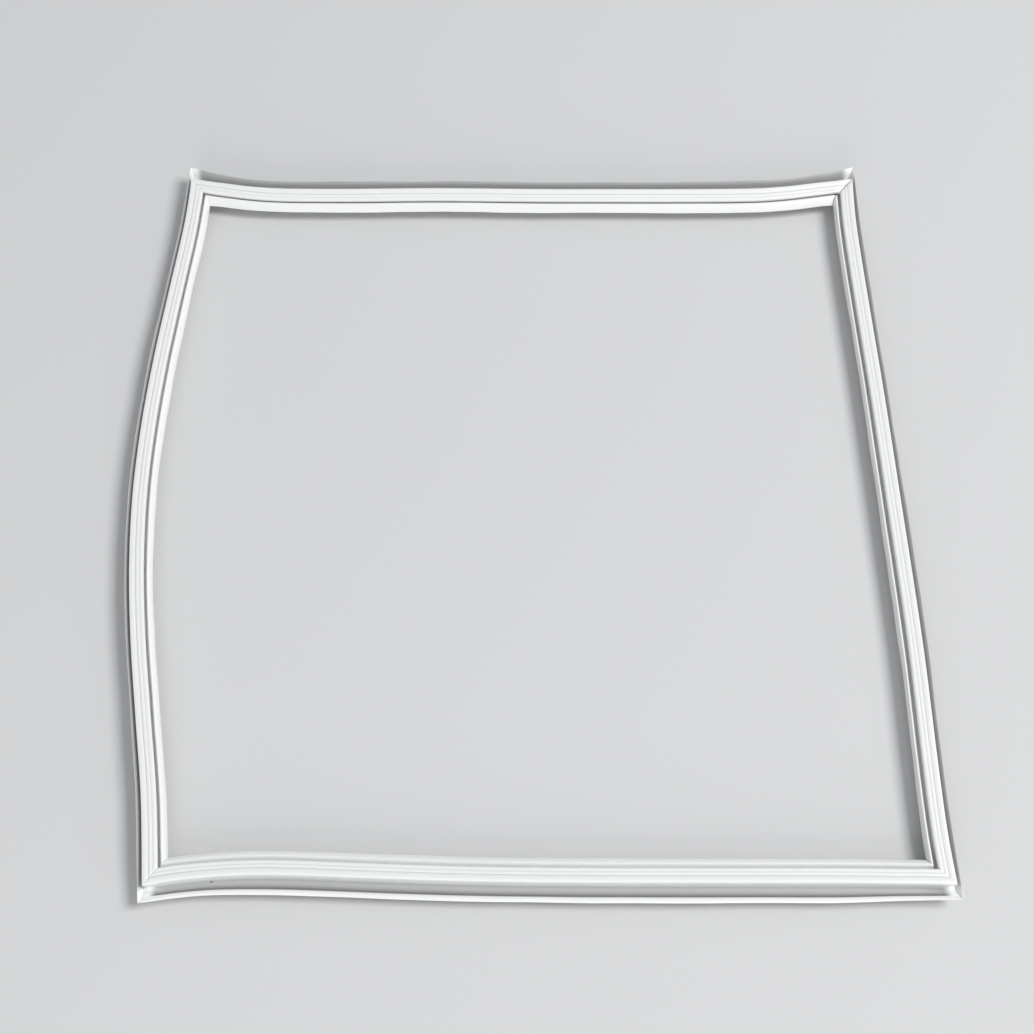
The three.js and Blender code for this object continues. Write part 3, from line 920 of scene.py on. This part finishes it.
def white_vinyl():
    """Satin white vinyl: die streaks along each side, a faint grain, painted shade in its die lines, a
    darker thin web of painted shade, and one speck.
    """
    material, t, shader = new_material("satin_vinyl", VINYL_PLAIN, 0.36)
    along = t.math("MULTIPLY", attribute(t, "run"), STREAKS_ALONG)
    across = t.math("MULTIPLY", attribute(t, "girth"), STREAKS_ACROSS)
    streaks = noise(t, t.vector_of(along, across, 0.0), 1.0, 3.0)
    place = t.node("ShaderNodeTexCoord").outputs["Object"]
    clouds = noise(t, place, CLOUD_SCALE, 3.0)
    grain = noise(t, place, GRAIN_SCALE, 2.0)
    tone = t.math("MULTIPLY", clouds, t.math("ADD", 0.5, t.math("MULTIPLY", streaks, 0.5)))
    thick = mix_colour(t, tone, VINYL_WHITE, VINYL_DULL)
    # painted shade in the die lines
    line_shaded = mix_colour(t, t.math("MULTIPLY", attribute(t, "line"), LINE_DARKNESS), thick, LINE_SHADE_COLOUR)
    # painted shade on the outer lip's thin web
    colour = mix_colour(t, painted_web_shade(t), line_shaded, WEB_SHADE_COLOUR)
    t.feed(shader.inputs["Base Color"], mix_colour(t, speck(t, grain), colour, SPECK_COLOUR))
    dulled = t.math("ADD", VINYL_ROUGHNESS, t.math("MULTIPLY", clouds, VINYL_DULLING))
    t.feed(shader.inputs["Roughness"], dulled)
    streak_relief = t.math("MULTIPLY", streaks, STREAK_RELIEF)
    relief = t.math("ADD", streak_relief, t.math("MULTIPLY", grain, GRAIN_RELIEF))
    emboss(t, shader, relief, RELIEF_STRENGTH, RELIEF_DEPTH)
    shader.inputs["IOR"].default_value = VINYL_IOR
    shader.inputs["Subsurface Weight"].default_value = VINYL_SCATTER
    shader.inputs["Subsurface Radius"].default_value = (1, 1, 1)
    shader.inputs["Subsurface Scale"].default_value = VINYL_SCATTER_DEPTH
    return material


def bonded_ferrite():
    """Dark magnet strip with a dusty, slightly mottled surface."""
    material, t, shader = new_material("bonded_ferrite", FERRITE_PLAIN, 0.7)
    mottle = noise(t, t.node("ShaderNodeTexCoord").outputs["Object"], MOTTLE_SCALE, 4.0)
    t.feed(shader.inputs["Base Color"], mix_colour(t, mottle, FERRITE_DARK, FERRITE_DUSTY))
    dulled = t.math("ADD", FERRITE_ROUGHNESS, t.math("MULTIPLY", mottle, FERRITE_DULLING))
    t.feed(shader.inputs["Roughness"], dulled)
    emboss(t, shader, mottle, MOTTLE_STRENGTH, MOTTLE_DEPTH)
    return material


def pale_floor():
    material, _, _ = new_material("pale_floor", FLOOR_COLOUR, FLOOR_ROUGHNESS)
    return material


# The gasket

def centre(mesh):
    """Moves the mesh sideways, from the middle of its rails' corners to the middle of the whole gasket."""
    points = np.zeros(len(mesh.vertices) * 3)
    mesh.vertices.foreach_get("co", points)
    mesh.vertices.foreach_set("co", (points.reshape(-1, 3) - (*FRAME_MIDDLE, 0)).ravel())


def make_gasket(material):
    """Evaluates the tree once and keeps its result as a plain mesh."""
    starts = np.cumsum([0] + [rails[name]["length"] for name in names])
    pairs = [(rail_object(name, starts[i]), outline_object(name)) for i, name in enumerate(names)]
    tree = gasket_tree(sweep_tree(), pairs, material)
    host = bpy.data.objects.new("gasket_host", bpy.data.meshes.new("gasket_host"))
    bpy.context.scene.collection.objects.link(host)
    modifier = host.modifiers.new("door_gasket", "NODES")
    modifier.node_group = tree
    depsgraph = bpy.context.evaluated_depsgraph_get()
    mesh = bpy.data.meshes.new_from_object(
        host.evaluated_get(depsgraph), preserve_all_data_layers=True, depsgraph=depsgraph)
    host.modifiers.remove(modifier)
    for helper in (host, *(obj for pair in pairs for obj in pair)):
        bpy.data.objects.remove(helper, do_unlink=True)
    mesh.flip_normals()     # an anticlockwise outline comes out of the sweep with its faces pointing in
    centre(mesh)
    mesh.name = "gasket"
    gasket = bpy.data.objects.new("gasket", mesh)
    bpy.context.scene.collection.objects.link(gasket)
    return gasket


vinyl = white_vinyl()
gasket = make_gasket(vinyl)
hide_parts("gasket_frame")
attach(gasket, "root")

ferrite = bonded_ferrite()
for name in names:
    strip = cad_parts[f"magnet_strip_{name}"]
    strip.data.materials.clear()
    strip.data.materials.append(ferrite)


# Floor, light and camera

def make_floor():
    square = [(x * FLOOR_HALF, y * FLOOR_HALF, 0) for x, y in ((-1, -1), (1, -1), (1, 1), (-1, 1))]
    mesh = bpy.data.meshes.new("floor")
    mesh.from_pydata(square, [], [(0, 1, 2, 3)])
    mesh.materials.append(pale_floor())
    floor = bpy.data.objects.new("floor", mesh)
    bpy.context.scene.collection.objects.link(floor)


def add_area_light(name, place, size, watts):
    """A square lamp that points at the middle of the floor."""
    light = bpy.data.lights.new(name, "AREA")
    light.shape = "SQUARE"
    light.size = size
    light.energy = watts
    lamp = bpy.data.objects.new(name, light)
    lamp.location = place
    lamp.rotation_euler = Vector(place).to_track_quat("Z", "Y").to_euler()
    bpy.context.scene.collection.objects.link(lamp)


def set_world():
    world = bpy.data.worlds.new("studio")
    world.use_nodes = True
    background = world.node_tree.nodes["Background"]
    background.inputs["Color"].default_value = SKY_COLOUR
    background.inputs["Strength"].default_value = SKY_STRENGTH
    bpy.context.scene.world = world


def make_camera():
    data = bpy.data.cameras.new("camera")
    data.sensor_fit = "HORIZONTAL"
    data.angle = math.radians(CAMERA_FIELD)
    camera = bpy.data.objects.new("camera", data)
    camera.location = CAMERA_PLACE
    camera.rotation_euler = (math.radians(CAMERA_TILT), 0, 0)
    bpy.context.scene.collection.objects.link(camera)
    bpy.context.scene.camera = camera


make_floor()
set_world()
for name, lamp in LAMPS.items():
    add_area_light(name, **lamp)
make_camera()
bpy.context.scene.view_settings.view_transform = "Standard"
